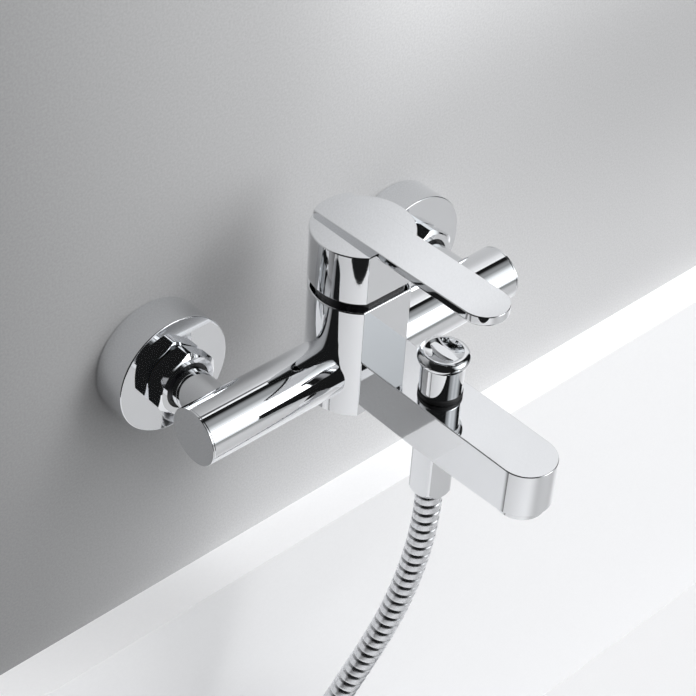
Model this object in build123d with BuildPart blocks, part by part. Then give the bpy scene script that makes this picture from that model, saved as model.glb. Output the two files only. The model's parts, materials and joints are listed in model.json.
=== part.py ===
"""Wall mounted bath faucet with a single lever, a pull-up diverter and a shower hose.

Millimetres. The origin is on the finished wall, half way between the two wall inlets.
+X runs along the wall to the right, +Y goes into the wall, +Z is up. Distances "out" are
measured from the wall towards the room, so a point that is 20 out has y = -20.
"""

import os
from math import asin, cos, pi, radians, sin, tan

from build123d import *

os.makedirs("parts", exist_ok=True)

# ---- driving dimensions ---------------------------------------------------------------
INLET_SPACING = 150.0
INLET_X = INLET_SPACING / 2
ECCENTRICITY = 6.0  # the wall unions lift the faucet this far above the inlets
AXIS_OUT = 56.8  # how far the body's axis stands off the wall
AXIS_Y = -AXIS_OUT
AXIS_Z = ECCENTRICITY

PIPE_HALF_R = 10.48  # 1/2 inch pipe thread, outside
PIPE_THREE_QUARTER_R = 13.22  # 3/4 inch pipe thread, outside
PIPE_THREE_EIGHTH_R = 8.33  # 3/8 inch pipe thread, outside
THREAD_PLAY = 0.03

ROSE_R = 30.0
ROSE_DEPTH = 18.5
ROSE_WALL = 1.2
UNION_END_OUT = 23.5
WALL_THREAD = 16.0

NUT_FLATS = 30.0
NUT_TURNED_R = 16.7
NUT_BACK_OUT = 18.8
NUT_FRONT_OUT = 28.3
NUT_LIP = 1.2
NECK_R = 10.0
NECK_BORE = 6.5
NECK_END_OUT = 25.0

TUBE_R = 14.0
TUBE_HALF = 94.5
END_PLATE = 1.0
INLET_BORE_R = 6.0
END_PLUG_R = 9.0

BODY_R = 23.4
BODY_FLAT = 18.7
BODY_BOTTOM = AXIS_Z - 20.0
BODY_TOP = AXIS_Z + 40.0

SPOUT_HALF = 13.8
SPOUT_TIP_OUT = 178.2
SPOUT_TOP = AXIS_Z + 11.8
SPOUT_UNDER_ROOT = AXIS_Z - 12.3
SPOUT_UNDER_MIDDLE = AXIS_Z - 13.6
SPOUT_UNDER_TIP = AXIS_Z - 11.2
AERATOR_Y = -(SPOUT_TIP_OUT - SPOUT_HALF)

CARTRIDGE_R = 15.0
CARTRIDGE_SEAT = AXIS_Z + 8.0
PIVOT_Z = AXIS_Z + 33.0
LIFT = radians(22)
BALL_ARM = 9.5

CAP_R = 23.7
CAP_FLAT = 19.3
CAP_WALL = 1.4
CAP_BOTTOM = AXIS_Z + 45.0
CAP_TOP = AXIS_Z + 70.3
LEVER_HALF = 11.07
LEVER_TIP_OUT = 141.8
LEVER_TOP_AXIS = AXIS_Z + 72.9
LEVER_TOP_TIP = AXIS_Z + 74.4
LEVER_UNDER = AXIS_Z + 69.2

DIVERTER_Y = -111.8
DIVERTER_BORE = 8.36
STEM_R = 2.5
KNOB_R = 9.8
KNOB_RIM_R = 11.9
KNOB_BASE = AXIS_Z + 14.6
KNOB_TOP = AXIS_Z + 33.2

HOSE_NUT_FLATS = 19.0
HOSE_NUT_TURNED_R = 10.7
HOSE_NUT_TOP = AXIS_Z - 15.1
HOSE_NUT_BOTTOM = AXIS_Z - 46.0
HOSE_R = 6.5
HOSE_START = AXIS_Z - 42.9

RUNNING = 0.05  # radial play of a turning or sliding fit

SIDES = (("left", -1), ("right", 1))
CENTRE_MIN = (Align.CENTER, Align.CENTER, Align.MIN)


# ---- shared building blocks -----------------------------------------------------------
def save(builder, label):
    """Label a finished piece and write it to its own file."""
    builder.part.label = label
    export_step(builder.part, f"parts/{label}.step")


def rod_y(x, z, radius, near, far, mode=Mode.ADD):
    """Round bar along Y between two distances out from the wall."""
    with Locations((x, -(near + far) / 2, z)):
        Cylinder(radius, far - near, rotation=(90, 0, 0), mode=mode)


def rod_z(x, y, radius, low, high, mode=Mode.ADD):
    """Upright round bar between two heights."""
    with Locations((x, y, low)):
        Cylinder(radius, high - low, align=CENTRE_MIN, mode=mode)


def rod_x(y, z, radius, start, end, mode=Mode.ADD):
    """Round bar along X between two places."""
    with Locations(((start + end) / 2, y, z)):
        Cylinder(radius, abs(end - start), rotation=(0, 90, 0), mode=mode)


def block(x_span, y_span, z_span, mode=Mode.ADD):
    """Box between two corners."""
    centre = [(low + high) / 2 for low, high in (x_span, y_span, z_span)]
    size = [abs(high - low) for low, high in (x_span, y_span, z_span)]
    with Locations(tuple(centre)):
        Box(*size, mode=mode)


def ring_z(x, y, inner, outer, low, high):
    """Flat ring or sleeve with an upright axis."""
    rod_z(x, y, outer, low, high)
    rod_z(x, y, inner, low, high, mode=Mode.SUBTRACT)


def lathe(plane, outline, mode=Mode.ADD):
    """Turn an outline of (radius, height) points about the plane's own upright axis."""
    with BuildSketch(plane) as profile:
        with BuildLine():
            Polyline(*outline, close=True)
        make_face()
    revolve(profile.sketch, axis=Axis(plane.origin, plane.y_dir), mode=mode)


def flatted_round(radius, flat, low, high, mode=Mode.ADD):
    """Upright round bar on the body's axis with one flat at the front."""
    with BuildSketch(Plane.XY.offset(low)) as outline:
        with Locations((0, AXIS_Y)):
            Circle(radius)
        with Locations((0, AXIS_Y - flat - radius)):
            Rectangle(2.2 * radius, 2 * radius, mode=Mode.SUBTRACT)
    extrude(outline.sketch, amount=high - low, mode=mode)


def hexagon(plane, flats, length, turned_radius, chamfer_radius, turn=0):
    """Hexagon bar whose corners are turned round and whose ends are chamfered at 30 degrees."""
    with BuildSketch(plane) as outline:
        RegularPolygon(flats / 2, 6, major_radius=False, rotation=turn)
    extrude(outline.sketch, amount=length)
    rise = (turned_radius - chamfer_radius) * tan(radians(30))
    across = Plane(plane.origin, x_dir=plane.x_dir, z_dir=-plane.y_dir)
    lathe(
        across,
        [
            (0, 0),
            (chamfer_radius, 0),
            (turned_radius, rise),
            (turned_radius, length - rise),
            (chamfer_radius, length),
            (0, length),
        ],
        mode=Mode.INTERSECT,
    )


def out_plane(x, out, z):
    """Plane that faces the room, with its origin a distance out from the wall."""
    return Plane((x, -out, z), x_dir=(1, 0, 0), z_dir=(0, -1, 0))


def upright(x, y):
    """Plane whose x is a radius and whose y is a height above the row's origin."""
    return Plane((x, y, 0), x_dir=(1, 0, 0), z_dir=(0, -1, 0))


# ---- wall side: eccentric union, rose, union nut, gasket, screen, snap ring -------------
def make_wall_union(x):
    """Eccentric union: 1/2 inch end in the wall, 3/4 inch end towards the faucet."""
    with BuildPart() as union:
        rod_y(x, 0, PIPE_HALF_R, -WALL_THREAD, 0.5)
        with BuildSketch(out_plane(x, 0, 0)) as back:
            Circle(11.8)
        with BuildSketch(out_plane(x, 9, AXIS_Z)) as front:
            Circle(12.6)
        loft(sections=[back.sketch, front.sketch])
        rod_y(x, AXIS_Z, PIPE_THREE_QUARTER_R, 9, UNION_END_OUT)
        chamfer(union.faces().sort_by(Axis.Y)[0].edges(), 0.8)
        chamfer(union.faces().sort_by(Axis.Y)[-1].edges(), 0.8)
        rod_y(x, 0, 6.5, -WALL_THREAD, 1, mode=Mode.SUBTRACT)
        with BuildSketch(out_plane(x, 0, 0)) as inlet:
            Circle(6.5)
        with BuildSketch(out_plane(x, 9, AXIS_Z)) as outlet:
            Circle(8)
        loft(sections=[inlet.sketch, outlet.sketch], mode=Mode.SUBTRACT)
        rod_y(x, AXIS_Z, 8, 8.9, UNION_END_OUT, mode=Mode.SUBTRACT)
    return union


def make_rose(x):
    """Deep round cup that hides the union: open to the wall, holed at the front."""
    with BuildPart() as rose:
        rod_y(x, AXIS_Z, ROSE_R, 0, ROSE_DEPTH)
        chamfer(rose.faces().sort_by(Axis.Y)[0].edges(), 0.5)
        rod_y(x, AXIS_Z, ROSE_R - ROSE_WALL, 0, ROSE_DEPTH - ROSE_WALL, mode=Mode.SUBTRACT)
        rod_y(x, AXIS_Z, PIPE_THREE_QUARTER_R + 0.3, 0, ROSE_DEPTH, mode=Mode.SUBTRACT)
    return rose


def make_union_nut(x):
    """Swivelling 3/4 inch hexagon nut with an inward lip at the front."""
    with BuildPart() as nut:
        hexagon(
            out_plane(x, NUT_BACK_OUT, AXIS_Z),
            NUT_FLATS,
            NUT_FRONT_OUT - NUT_BACK_OUT,
            NUT_TURNED_R,
            NUT_FLATS / 2 - 0.6,
            turn=23,
        )
        thread_end = NUT_FRONT_OUT - NUT_LIP
        thread_r = PIPE_THREE_QUARTER_R + THREAD_PLAY
        rod_y(x, AXIS_Z, thread_r, NUT_BACK_OUT, thread_end, mode=Mode.SUBTRACT)
        rod_y(x, AXIS_Z, NECK_R + 1.7, NUT_BACK_OUT, NUT_FRONT_OUT, mode=Mode.SUBTRACT)
    return nut


def make_union_gasket(x):
    """Flat fibre ring between the union's end and the neck's end."""
    with BuildPart() as gasket:
        rod_y(x, AXIS_Z, 12.9, UNION_END_OUT, NECK_END_OUT)
        rod_y(x, AXIS_Z, 8.0, UNION_END_OUT, NECK_END_OUT, mode=Mode.SUBTRACT)
    return gasket


def make_inlet_screen(x):
    """Perforated disc that sits inside the gasket and holds grit back."""
    with BuildPart() as screen:
        rod_y(x, AXIS_Z, 7.95, UNION_END_OUT + 0.5, UNION_END_OUT + 1.0)
        with BuildSketch(out_plane(x, UNION_END_OUT, AXIS_Z)) as holes:
            with HexLocations(1.5, 5, 5):
                Circle(0.9)
        extrude(holes.sketch, amount=2, mode=Mode.SUBTRACT)
    return screen


def make_snap_ring(x):
    """Black ring in the neck's groove that keeps the nut on the neck."""
    back = NECK_END_OUT + 0.6
    with BuildPart() as ring:
        rod_y(x, AXIS_Z, 13.0, back, back + 1.45)
        rod_y(x, AXIS_Z, NECK_R - 0.7, back, back + 1.45, mode=Mode.SUBTRACT)
    return ring


for side, sign in SIDES:
    save(make_wall_union(sign * INLET_X), f"wall_union_{side}")
    save(make_rose(sign * INLET_X), f"wall_rose_{side}")
    save(make_union_nut(sign * INLET_X), f"union_nut_{side}")
    save(make_union_gasket(sign * INLET_X), f"union_gasket_{side}")
    save(make_inlet_screen(sign * INLET_X), f"inlet_screen_{side}")
    save(make_snap_ring(sign * INLET_X), f"nut_snap_ring_{side}")


# ---- main body: cross tube, upright barrel, spout and their waterways -------------------
UPPER_SEAT = AXIS_Z + 1.0  # underside of the diverter's upper seat
LOWER_SEAT = AXIS_Z - 10.5  # face of the lower seat, inside the outlet nipple
SPOUT_CHANNEL = (AXIS_Z + 2.8, AXIS_Z + 8.6)
FEED_CHANNEL = (AXIS_Z - 6.3, AXIS_Z + 0.5)
AERATOR_LEDGE = AXIS_Z - 1.8
PORT_X = 8.3
PORT_R = 2.8
OUTLET_BACK = 8.0
PAST_TIP = 1.0  # side views run past the tips, which the round top views cut

with BuildPart() as spout:
    with BuildSketch(Plane.YZ.offset(-SPOUT_HALF)) as side_view:
        with BuildLine():
            Polyline(
                (AXIS_Y, SPOUT_UNDER_ROOT),
                (AXIS_Y, SPOUT_TOP),
                (-SPOUT_TIP_OUT - PAST_TIP, SPOUT_TOP),
                (-SPOUT_TIP_OUT - PAST_TIP, SPOUT_UNDER_TIP),
            )
            ThreePointArc(
                (-SPOUT_TIP_OUT - PAST_TIP, SPOUT_UNDER_TIP),
                (-(SPOUT_TIP_OUT + AXIS_OUT) / 2 - 10, SPOUT_UNDER_MIDDLE),
                (AXIS_Y, SPOUT_UNDER_ROOT),
            )
        make_face()
    extrude(side_view.sketch, amount=2 * SPOUT_HALF)
    with BuildSketch(Plane.XY.offset(BODY_BOTTOM)) as top_view:
        with Locations((0, (AXIS_Y + AERATOR_Y) / 2)):
            Rectangle(2 * SPOUT_HALF, AXIS_Y - AERATOR_Y)
        with Locations((0, AERATOR_Y)):
            Circle(SPOUT_HALF)
    extrude(top_view.sketch, amount=BODY_TOP - BODY_BOTTOM, mode=Mode.INTERSECT)
    chamfer(spout.faces().sort_by(Axis.Z)[-1].edges().filter_by(Axis.X, reverse=True), 0.35)

with BuildPart() as barrel:
    flatted_round(BODY_R, BODY_FLAT, BODY_BOTTOM, BODY_TOP)
    chamfer(barrel.faces().sort_by(Axis.Z)[-1].edges(), 0.5)
    chamfer(barrel.faces().sort_by(Axis.Z)[0].edges(), 0.5)

with BuildPart() as main_body:
    add(barrel.part)
    add(spout.part)
    rod_x(AXIS_Y, AXIS_Z, TUBE_R, -TUBE_HALF + END_PLATE, TUBE_HALF - END_PLATE)
    for _, sign in SIDES:
        rod_y(sign * INLET_X, AXIS_Z, NECK_R, NECK_END_OUT, AXIS_OUT)
    # snap ring grooves and inlet bores of the necks
    for _, sign in SIDES:
        with BuildSketch(out_plane(sign * INLET_X, NECK_END_OUT + 0.55, AXIS_Z)) as groove:
            Circle(NECK_R + 1)
            Circle(NECK_R - 0.75, mode=Mode.SUBTRACT)
        extrude(groove.sketch, amount=1.55, mode=Mode.SUBTRACT)
        rod_y(sign * INLET_X, AXIS_Z, NECK_BORE, NECK_END_OUT, AXIS_OUT, mode=Mode.SUBTRACT)
    # hot and cold bores run in from the tube's ends and stop short of each other
    for _, sign in SIDES:
        inner = sign * (PORT_X - PORT_R - 0.7)
        rod_x(AXIS_Y, AXIS_Z, INLET_BORE_R, inner, sign * TUBE_HALF, mode=Mode.SUBTRACT)
        plug_from = sign * (TUBE_HALF - END_PLATE - 8)
        rod_x(AXIS_Y, AXIS_Z, END_PLUG_R, plug_from, sign * TUBE_HALF, mode=Mode.SUBTRACT)
        rod_z(sign * PORT_X, AXIS_Y, PORT_R, AXIS_Z, CARTRIDGE_SEAT, mode=Mode.SUBTRACT)
    # cartridge chamber, with a wider thread for its nut at the mouth
    rod_z(0, AXIS_Y, CARTRIDGE_R + 0.02, CARTRIDGE_SEAT, BODY_TOP, mode=Mode.SUBTRACT)
    rod_z(0, AXIS_Y, 16.02, BODY_TOP - 4, BODY_TOP, mode=Mode.SUBTRACT)
    # mixed water drops behind the seat and runs forward to the diverter
    outlet_y = AXIS_Y - OUTLET_BACK
    rod_z(0, outlet_y, 3.2, FEED_CHANNEL[0], CARTRIDGE_SEAT, mode=Mode.SUBTRACT)
    block((-5, 5), (DIVERTER_Y, outlet_y - 1), FEED_CHANNEL, mode=Mode.SUBTRACT)
    # diverter bore goes right through the spout
    rod_z(0, DIVERTER_Y, DIVERTER_BORE, BODY_BOTTOM, BODY_TOP, mode=Mode.SUBTRACT)
    # from the diverter to the aerator
    block((-6, 6), (AERATOR_Y, DIVERTER_Y), SPOUT_CHANNEL, mode=Mode.SUBTRACT)
    rod_z(0, AERATOR_Y, 7.5, AERATOR_LEDGE, SPOUT_CHANNEL[1], mode=Mode.SUBTRACT)
    rod_z(0, AERATOR_Y, 10.22, BODY_BOTTOM, AERATOR_LEDGE, mode=Mode.SUBTRACT)
    rod_z(0, AERATOR_Y, 11.5, BODY_BOTTOM, AXIS_Z - 9.2, mode=Mode.SUBTRACT)
save(main_body, "main_body")


def make_end_plug(sign):
    """Plug that closes the end of the cross tube, with a plate as wide as the tube."""
    end = sign * TUBE_HALF
    plate_back = sign * (TUBE_HALF - END_PLATE)
    with BuildPart() as plug:
        rod_x(AXIS_Y, AXIS_Z, TUBE_R, plate_back, end)
        outer_face = plug.faces().sort_by(Axis.X)[-1 if sign > 0 else 0]
        chamfer(outer_face.edges(), 0.3)
        rod_x(AXIS_Y, AXIS_Z, END_PLUG_R - 0.02, plate_back, plate_back - sign * 7)
        groove_x = plate_back - sign * 3.5
        with BuildSketch(Plane.YZ.offset(groove_x - 1)) as groove:
            with Locations((AXIS_Y, AXIS_Z)):
                Circle(END_PLUG_R + 1)
                Circle(END_PLUG_R - 1.6, mode=Mode.SUBTRACT)
        extrude(groove.sketch, amount=2, mode=Mode.SUBTRACT)
    return plug


def make_plug_seal(sign):
    """Rubber ring in the end plug's groove."""
    groove_x = sign * (TUBE_HALF - END_PLATE - 3.5)
    seal_plane = Plane((groove_x, AXIS_Y, AXIS_Z), x_dir=(0, 1, 0), z_dir=(1, 0, 0))
    with BuildPart(seal_plane) as seal:
        Torus(END_PLUG_R - 0.8, 0.78)
    return seal


for side, sign in SIDES:
    save(make_end_plug(sign), f"tube_end_plug_{side}")
    save(make_plug_seal(sign), f"end_plug_seal_{side}")


# ---- mixing cartridge -----------------------------------------------------------------
BASE_TOP = CARTRIDGE_SEAT + 5.5
FIXED_DISC_TOP = BASE_TOP + 3.5
MOVING_DISC_TOP = FIXED_DISC_TOP + 3.0
DRIVER_TOP = MOVING_DISC_TOP + 4.4
CARRIER_FLANGE = DRIVER_TOP + 0.3
SHOULDER_Z = AXIS_Z + 36.0
NECK_TOP = AXIS_Z + 46.0
SHELL_IN_R = 13.0
CARRIER_R = 10.9
BALL_Z = PIVOT_Z - BALL_ARM


def port_holes(low, high):
    """The two inlet ports and the outlet port of the cartridge."""
    for _, sign in SIDES:
        rod_z(sign * PORT_X, AXIS_Y, PORT_R, low, high, mode=Mode.SUBTRACT)
    rod_z(0, AXIS_Y - OUTLET_BACK, 3.2, low, high, mode=Mode.SUBTRACT)


with BuildPart() as cartridge_base:
    rod_z(0, AXIS_Y, CARTRIDGE_R - 0.05, CARTRIDGE_SEAT + 0.8, BASE_TOP - 1.5)
    rod_z(0, AXIS_Y, SHELL_IN_R - 0.02, BASE_TOP - 1.5, BASE_TOP)
    port_holes(CARTRIDGE_SEAT, BASE_TOP)
save(cartridge_base, "cartridge_base")

with BuildPart() as cartridge_seals:
    for _, sign in SIDES:
        ring_z(sign * PORT_X, AXIS_Y, PORT_R, PORT_R + 1.2, CARTRIDGE_SEAT, CARTRIDGE_SEAT + 0.8)
    ring_z(0, AXIS_Y - OUTLET_BACK, 3.2, 4.4, CARTRIDGE_SEAT, CARTRIDGE_SEAT + 0.8)
save(cartridge_seals, "cartridge_seals")

with BuildPart() as fixed_disc:
    rod_z(0, AXIS_Y, SHELL_IN_R - 0.1, BASE_TOP, FIXED_DISC_TOP)
    port_holes(BASE_TOP, FIXED_DISC_TOP)
save(fixed_disc, "fixed_ceramic_disc")

with BuildPart() as moving_disc:
    rod_z(0, AXIS_Y, 9.0, FIXED_DISC_TOP + 0.02, MOVING_DISC_TOP)
    with BuildSketch(Plane.XY.offset(FIXED_DISC_TOP + 0.02)) as recess:
        with Locations((0, AXIS_Y + 1)):
            SlotCenterToCenter(7, 5)
    extrude(recess.sketch, amount=1.6, mode=Mode.SUBTRACT)
save(moving_disc, "moving_ceramic_disc")

with BuildPart() as disc_driver:
    rod_z(0, AXIS_Y, 9.0, MOVING_DISC_TOP, DRIVER_TOP)
    rod_z(0, AXIS_Y, 3.2, MOVING_DISC_TOP + 0.3, DRIVER_TOP, mode=Mode.SUBTRACT)
save(disc_driver, "disc_driver")

with BuildPart() as cartridge_shell:
    rod_z(0, AXIS_Y, CARTRIDGE_R - 0.05, BASE_TOP - 1.5, SHOULDER_Z)
    rod_z(0, AXIS_Y, 12.0, SHOULDER_Z, NECK_TOP)
    flange_room = CARRIER_FLANGE + 3.1
    rod_z(0, AXIS_Y, SHELL_IN_R, BASE_TOP - 1.5, flange_room, mode=Mode.SUBTRACT)
    rod_z(0, AXIS_Y, CARRIER_R + RUNNING, flange_room, NECK_TOP, mode=Mode.SUBTRACT)
save(cartridge_shell, "cartridge_shell")

STEM_HALF = 3.5
stem_reach = (NECK_TOP - PIVOT_Z) * tan(LIFT) + STEM_HALF / cos(LIFT) + 0.4
slot_y = (AXIS_Y - 8.4, AXIS_Y + stem_reach)

with BuildPart() as lever_carrier:
    rod_z(0, AXIS_Y, SHELL_IN_R - RUNNING, CARRIER_FLANGE, CARRIER_FLANGE + 3)
    rod_z(0, AXIS_Y, CARRIER_R, CARRIER_FLANGE + 3, NECK_TOP - 0.4)
    block((-3.6, 3.6), slot_y, (CARRIER_FLANGE, NECK_TOP), Mode.SUBTRACT)
    rod_x(AXIS_Y, PIVOT_Z, 1.5, -12, 12, mode=Mode.SUBTRACT)
save(lever_carrier, "lever_carrier")

with BuildPart() as lever_pin:
    rod_x(AXIS_Y, PIVOT_Z, 1.49, -10.2, 10.2)
save(lever_pin, "lever_pin")

STEM_TOP = CAP_TOP - 7.0
with BuildPart() as lever_stem:
    block(
        (-STEM_HALF, STEM_HALF),
        (AXIS_Y - STEM_HALF, AXIS_Y + STEM_HALF),
        (PIVOT_Z - 5.5, STEM_TOP),
    )
    chamfer(lever_stem.faces().sort_by(Axis.Z)[-1].edges(), 0.6)
    rod_z(0, AXIS_Y, 2.2, BALL_Z, PIVOT_Z - 5)
    with Locations((0, AXIS_Y, BALL_Z)):
        Sphere(3.0)
    rod_x(AXIS_Y, PIVOT_Z, 1.49 + RUNNING, -5, 5, mode=Mode.SUBTRACT)
save(lever_stem, "lever_stem")

with BuildPart() as cartridge_nut:
    rod_z(0, AXIS_Y, 16.0, SHOULDER_Z, BODY_TOP)
    hexagon(Plane((0, AXIS_Y, BODY_TOP)), 28.0, 4.4, 16.0, 13.6)
    rod_z(0, AXIS_Y, 12.1, SHOULDER_Z, BODY_TOP + 5, mode=Mode.SUBTRACT)
save(cartridge_nut, "cartridge_nut")

with BuildPart() as trim_ring:
    flatted_round(20.4, 17.5, BODY_TOP, CAP_BOTTOM - 0.45)
    rod_z(0, AXIS_Y, 16.3, BODY_TOP, CAP_BOTTOM, mode=Mode.SUBTRACT)
save(trim_ring, "trim_ring")


# ---- handle: hollow cap with a lever bar ------------------------------------------------
HUB_R = 6.6
HUB_BOTTOM = AXIS_Z + 51.5
SCREW_Z = AXIS_Z + 57.5
CAP_CEILING = CAP_TOP - 3.0

with BuildPart() as lever_bar:
    back = AXIS_Y + CAP_R
    slope = (LEVER_TOP_TIP - LEVER_TOP_AXIS) / (LEVER_TIP_OUT - AXIS_OUT)
    with BuildSketch(Plane.YZ.offset(-LEVER_HALF)) as bar_side:
        with BuildLine():
            Polyline(
                (back, LEVER_UNDER),
                (-LEVER_TIP_OUT - PAST_TIP, LEVER_UNDER),
                (-LEVER_TIP_OUT - PAST_TIP, LEVER_TOP_TIP + slope * PAST_TIP),
                (back, LEVER_TOP_AXIS - slope * CAP_R),
                close=True,
            )
        make_face()
    extrude(bar_side.sketch, amount=2 * LEVER_HALF)
    tip_y = -LEVER_TIP_OUT + LEVER_HALF
    with BuildSketch(Plane.XY.offset(LEVER_UNDER)) as bar_top:
        with Locations((0, AXIS_Y)):
            Circle(CAP_R - 0.5)
        with Locations((0, (tip_y + AXIS_Y) / 2)):
            Rectangle(2 * LEVER_HALF, AXIS_Y - tip_y)
        with Locations((0, tip_y)):
            Circle(LEVER_HALF)
    extrude(bar_top.sketch, amount=10, mode=Mode.INTERSECT)
    chamfer(lever_bar.faces().sort_by(Axis.Z)[-1].edges(), 0.5)

with BuildPart() as handle_lever:
    flatted_round(CAP_R, CAP_FLAT, CAP_BOTTOM, CAP_TOP)
    chamfer(handle_lever.faces().sort_by(Axis.Z)[-1].edges(), 0.5)
    chamfer(handle_lever.faces().sort_by(Axis.Z)[0].edges(), 0.4)
    flatted_round(
        CAP_R - CAP_WALL, CAP_FLAT - CAP_WALL, CAP_BOTTOM, CAP_CEILING, mode=Mode.SUBTRACT
    )
    add(lever_bar.part)
    rod_z(0, AXIS_Y, HUB_R, HUB_BOTTOM, CAP_CEILING)
    socket = STEM_HALF + 0.02
    block(
        (-socket, socket),
        (AXIS_Y - socket, AXIS_Y + socket),
        (HUB_BOTTOM, STEM_TOP + 0.3),
        Mode.SUBTRACT,
    )
    screw_out = AXIS_OUT - STEM_HALF
    rod_y(0, SCREW_Z, 2.52, AXIS_OUT - HUB_R - 1, screw_out, mode=Mode.SUBTRACT)
    rod_y(0, SCREW_Z, 3.0, AXIS_OUT - CAP_R - 1, AXIS_OUT - CAP_R + 3, mode=Mode.SUBTRACT)
save(handle_lever, "handle_lever")

with BuildPart() as handle_screw:
    screw_end = AXIS_OUT - STEM_HALF - 0.02
    rod_y(0, SCREW_Z, 2.5, screw_end - 7, screw_end)
    with BuildSketch(out_plane(0, screw_end - 7, SCREW_Z)) as key:
        RegularPolygon(1.25, 6, major_radius=False)
    extrude(key.sketch, amount=3, mode=Mode.SUBTRACT)
save(handle_screw, "handle_screw")

with BuildPart() as screw_plug:
    plug_back = AXIS_OUT - CAP_R - 0.3
    rod_y(0, SCREW_Z, 2.97, plug_back, plug_back + 3.0)
    fillet(screw_plug.faces().sort_by(Axis.Y)[-1].edges(), 0.4)
save(screw_plug, "screw_cover_plug")


# ---- pull-up diverter in the spout ------------------------------------------------------
def at_diverter():
    """Plane for turned pieces on the diverter's axis."""
    return upright(0, DIVERTER_Y)


SEAL_R = 5.9
DISC_Z = LOWER_SEAT + 0.05
NIPPLE_TOP = AXIS_Z - 7.0

with BuildPart() as outlet_nipple:
    spout_face = AXIS_Z - 13.65
    lathe(
        at_diverter(),
        [
            (6.4, NIPPLE_TOP),
            (PIPE_THREE_EIGHTH_R, NIPPLE_TOP),
            (PIPE_THREE_EIGHTH_R, spout_face - 0.15),
            (9.4, spout_face - 0.15),
            (9.4, spout_face - 1.3),
            (PIPE_THREE_EIGHTH_R, spout_face - 1.3),
            (PIPE_THREE_EIGHTH_R, AXIS_Z - 24),
            (5.0, AXIS_Z - 24),
            (5.0, LOWER_SEAT),
            (6.4, LOWER_SEAT),
        ],
    )
save(outlet_nipple, "outlet_nipple")

with BuildPart() as diverter_seat:
    ring_z(0, DIVERTER_Y, 5.0, DIVERTER_BORE - 0.03, UPPER_SEAT, UPPER_SEAT + 1.5)
save(diverter_seat, "diverter_seat")

BUSH_BOTTOM = SPOUT_CHANNEL[1] + 0.2
with BuildPart() as diverter_bush:
    lathe(
        at_diverter(),
        [
            (STEM_R + RUNNING, SPOUT_TOP),
            (DIVERTER_BORE - 0.03, SPOUT_TOP),
            (DIVERTER_BORE - 0.03, BUSH_BOTTOM),
            (4.4, BUSH_BOTTOM),
            (4.4, BUSH_BOTTOM + 1.7),
            (STEM_R + RUNNING, BUSH_BOTTOM + 1.7),
        ],
    )
    with BuildSketch(Plane.XY.offset(SPOUT_TOP)) as key_holes:
        with Locations((6.3, DIVERTER_Y), (-6.3, DIVERTER_Y)):
            Circle(0.9)
    extrude(key_holes.sketch, amount=-1.5, mode=Mode.SUBTRACT)
save(diverter_bush, "diverter_bush")

with BuildPart() as stem_seal:
    ring_z(0, DIVERTER_Y, STEM_R + RUNNING, 4.35, BUSH_BOTTOM + 0.1, BUSH_BOTTOM + 1.6)
save(stem_seal, "diverter_stem_seal")

with BuildPart() as bumper_ring:
    rod_z(0, DIVERTER_Y, 10.1, SPOUT_TOP, KNOB_BASE - 0.1)
    chamfer(bumper_ring.edges(), 0.5)
    rod_z(0, DIVERTER_Y, 4.0, SPOUT_TOP, KNOB_BASE, mode=Mode.SUBTRACT)
save(bumper_ring, "knob_bumper_ring")

with BuildPart() as diverter_stem:
    rod_z(0, DIVERTER_Y, STEM_R, DISC_Z + 0.1, KNOB_BASE + 9)
    rod_z(0, DIVERTER_Y, SEAL_R - 0.3, DISC_Z + 0.85, DISC_Z + 2.35)
save(diverter_stem, "diverter_stem")

with BuildPart() as lower_seal:
    ring_z(0, DIVERTER_Y, STEM_R, SEAL_R, DISC_Z, DISC_Z + 0.85)
save(lower_seal, "diverter_lower_seal")

with BuildPart() as upper_seal:
    ring_z(0, DIVERTER_Y, STEM_R, SEAL_R, DISC_Z + 2.35, DISC_Z + 3.2)
save(upper_seal, "diverter_upper_seal")

SPRING_LOW = DISC_Z + 3.2
SPRING_WIRE = 0.35
SPRING_TURNS = 7
with BuildPart() as diverter_spring:
    free_height = BUSH_BOTTOM - SPRING_LOW
    step = (free_height - 4 * SPRING_WIRE) / SPRING_TURNS
    coil_heights = [SPRING_LOW + 2 * SPRING_WIRE + step * turn for turn in range(SPRING_TURNS + 1)]
    for height in coil_heights:
        with Locations((0, DIVERTER_Y, height)):
            Torus(3.7, SPRING_WIRE)
save(diverter_spring, "diverter_spring")

DOME_RISE = 1.1
dome_edge = KNOB_RIM_R - 2.2
dome_r = (dome_edge**2 + DOME_RISE**2) / (2 * DOME_RISE)
half_span = asin(dome_edge / dome_r) / 2
with BuildPart() as diverter_knob:
    with BuildSketch(at_diverter()) as knob_outline:
        with BuildLine():
            Polyline(
                (0, KNOB_TOP),
                (0, KNOB_BASE),
                (KNOB_R, KNOB_BASE),
                (KNOB_R, KNOB_TOP - 8.2),
            )
            ThreePointArc(
                (KNOB_R, KNOB_TOP - 8.2),
                (KNOB_R + 0.7, KNOB_TOP - 5.9),
                (KNOB_RIM_R, KNOB_TOP - 4.2),
            )
            ThreePointArc(
                (KNOB_RIM_R, KNOB_TOP - 4.2),
                (KNOB_RIM_R - 0.45, KNOB_TOP - 2.4),
                (KNOB_RIM_R - 2.2, KNOB_TOP - DOME_RISE),
            )
            ThreePointArc(
                (KNOB_RIM_R - 2.2, KNOB_TOP - DOME_RISE),
                (dome_r * sin(half_span), KNOB_TOP - dome_r * (1 - cos(half_span))),
                (0, KNOB_TOP),
            )
        make_face()
    revolve(knob_outline.sketch, axis=Axis((0, DIVERTER_Y, 0), (0, 0, 1)))
    rod_z(0, DIVERTER_Y, STEM_R, KNOB_BASE, KNOB_BASE + 9, mode=Mode.SUBTRACT)
save(diverter_knob, "diverter_knob")


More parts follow.
